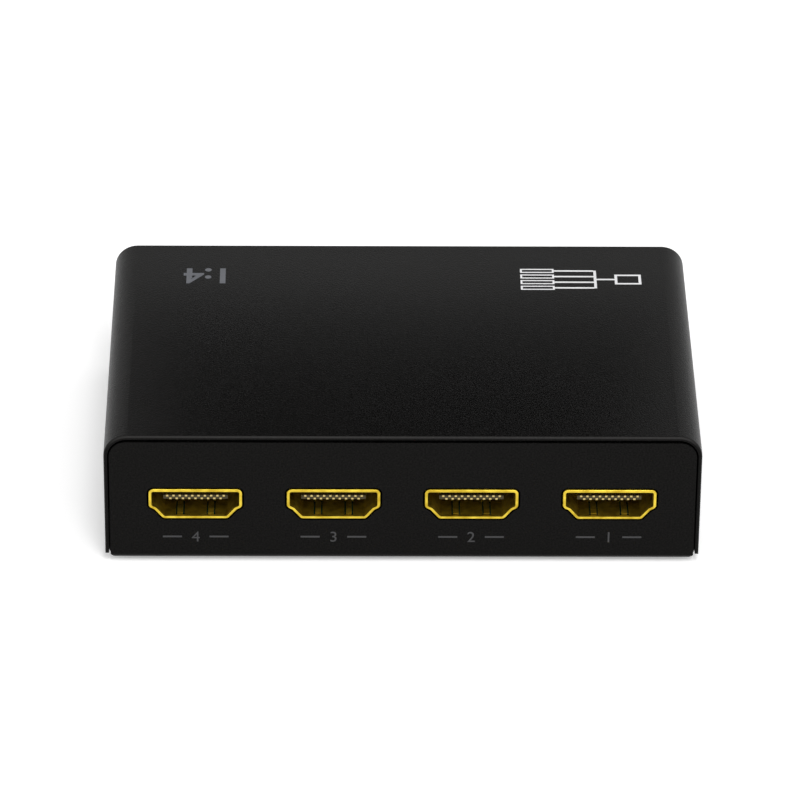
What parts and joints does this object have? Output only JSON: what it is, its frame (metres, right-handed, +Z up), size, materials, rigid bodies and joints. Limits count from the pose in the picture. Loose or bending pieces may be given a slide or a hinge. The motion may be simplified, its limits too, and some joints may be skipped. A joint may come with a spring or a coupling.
{
  "type": "hdmi splitter",
  "caption": "Low black sheet-metal box with a row of gold video sockets on one long side and input, power, lamps and small switches on the other.",
  "frame": {"origin": "under the middle of the box, on the surface that its feet stand on", "axes": "+X to the right seen from the outputs, +Y towards the input side, +Z up; the outputs face -Y"},
  "size_m": [0.095, 0.061, 0.0238],
  "materials": {
    "black_coat": "black fine-textured satin coat on sheet steel",
    "black_screw": "black plated steel",
    "foot_rubber": "matt black rubber",
    "film": "dark polyester film",
    "tinned_steel": "tinned steel",
    "plated_screw": "zinc plated steel",
    "solder_mask": "dark green solder mask on glass-epoxy laminate",
    "gold_plate": "bright gold plated",
    "socket_plastic": "black moulded, satin",
    "contact_gold": "gold plated",
    "black_plastic": "black moulded, satin",
    "white_plastic": "white moulded, satin",
    "tinned_brass": "tinned brass",
    "red_lamp": "clear red lens",
    "green_lamp": "clear green lens",
    "chip_plastic": "black moulded, matt",
    "pad_rubber": "soft thermal pad",
    "sink_aluminium": "black anodised",
    "fuse_ceramic": "pale ceramic",
    "ferrite": "dark ferrite",
    "can_aluminium": "bright drawn can",
    "capacitor_ceramic": "tan ceramic"
  },
  "bodies": {
    "case": {"board_posts": "tinned_steel", "board_screws": "plated_screw", "circuit_board": "solder_mask", "clock_crystal": "tinned_steel", "controller_chip": "chip_plastic", "cover": "black_coat", "cover_screws": "black_screw", "heat_sink": "sink_aluminium", "inlet_fuse": "fuse_ceramic", "inlet_housing": "black_plastic", "inlet_leaf": "tinned_brass", "inlet_pin": "tinned_brass", "input_contacts": "contact_gold", "input_insulator": "socket_plastic", "input_shell": "gold_plate", "insulating_sheet": "film", "lamp_holders": "black_plastic", "lamp_leads": "tinned_brass", "memory_chip": "chip_plastic", "output_1_contacts": "contact_gold", "output_1_insulator": "socket_plastic", "output_1_shell": "gold_plate", "output_2_contacts": "contact_gold", "output_2_insulator": "socket_plastic", "output_2_shell": "gold_plate", "output_3_contacts": "contact_gold", "output_3_insulator": "socket_plastic", "output_3_shell": "gold_plate", "output_4_contacts": "contact_gold", "output_4_insulator": "socket_plastic", "output_4_shell": "gold_plate", "output_lamps": "green_lamp", "power_capacitors": "can_aluminium", "power_coils": "ferrite", "power_lamp": "red_lamp", "rubber_feet": "foot_rubber", "small_capacitors": "capacitor_ceramic", "small_resistors": "chip_plastic", "splitter_chip": "chip_plastic", "surge_arrays": "chip_plastic", "switch_base": "black_plastic", "switch_housing": "black_plastic", "switch_terminals": "tinned_brass", "thermal_pad": "pad_rubber", "tray": "black_coat", "voltage_regulators": "chip_plastic"},
    "lever_1": {"switch_lever_1": "white_plastic", "switch_wiper_1": "contact_gold"},
    "lever_2": {"switch_lever_2": "white_plastic", "switch_wiper_2": "contact_gold"},
    "lever_3": {"switch_lever_3": "white_plastic", "switch_wiper_3": "contact_gold"},
    "lever_4": {"switch_lever_4": "white_plastic", "switch_wiper_4": "contact_gold"}
  },
  "joints": [
    {"name": "lever_1_slide", "type": "slide", "parent": "case", "child": "lever_1", "axis": [0, 0, 1], "range_m": [0, 0.002]},
    {"name": "lever_2_slide", "type": "slide", "parent": "case", "child": "lever_2", "axis": [0, 0, 1], "range_m": [0, 0.002]},
    {"name": "lever_3_slide", "type": "slide", "parent": "case", "child": "lever_3", "axis": [0, 0, 1], "range_m": [0, 0.002]},
    {"name": "lever_4_slide", "type": "slide", "parent": "case", "child": "lever_4", "axis": [0, 0, 1], "range_m": [0, 0.002]}
  ]
}
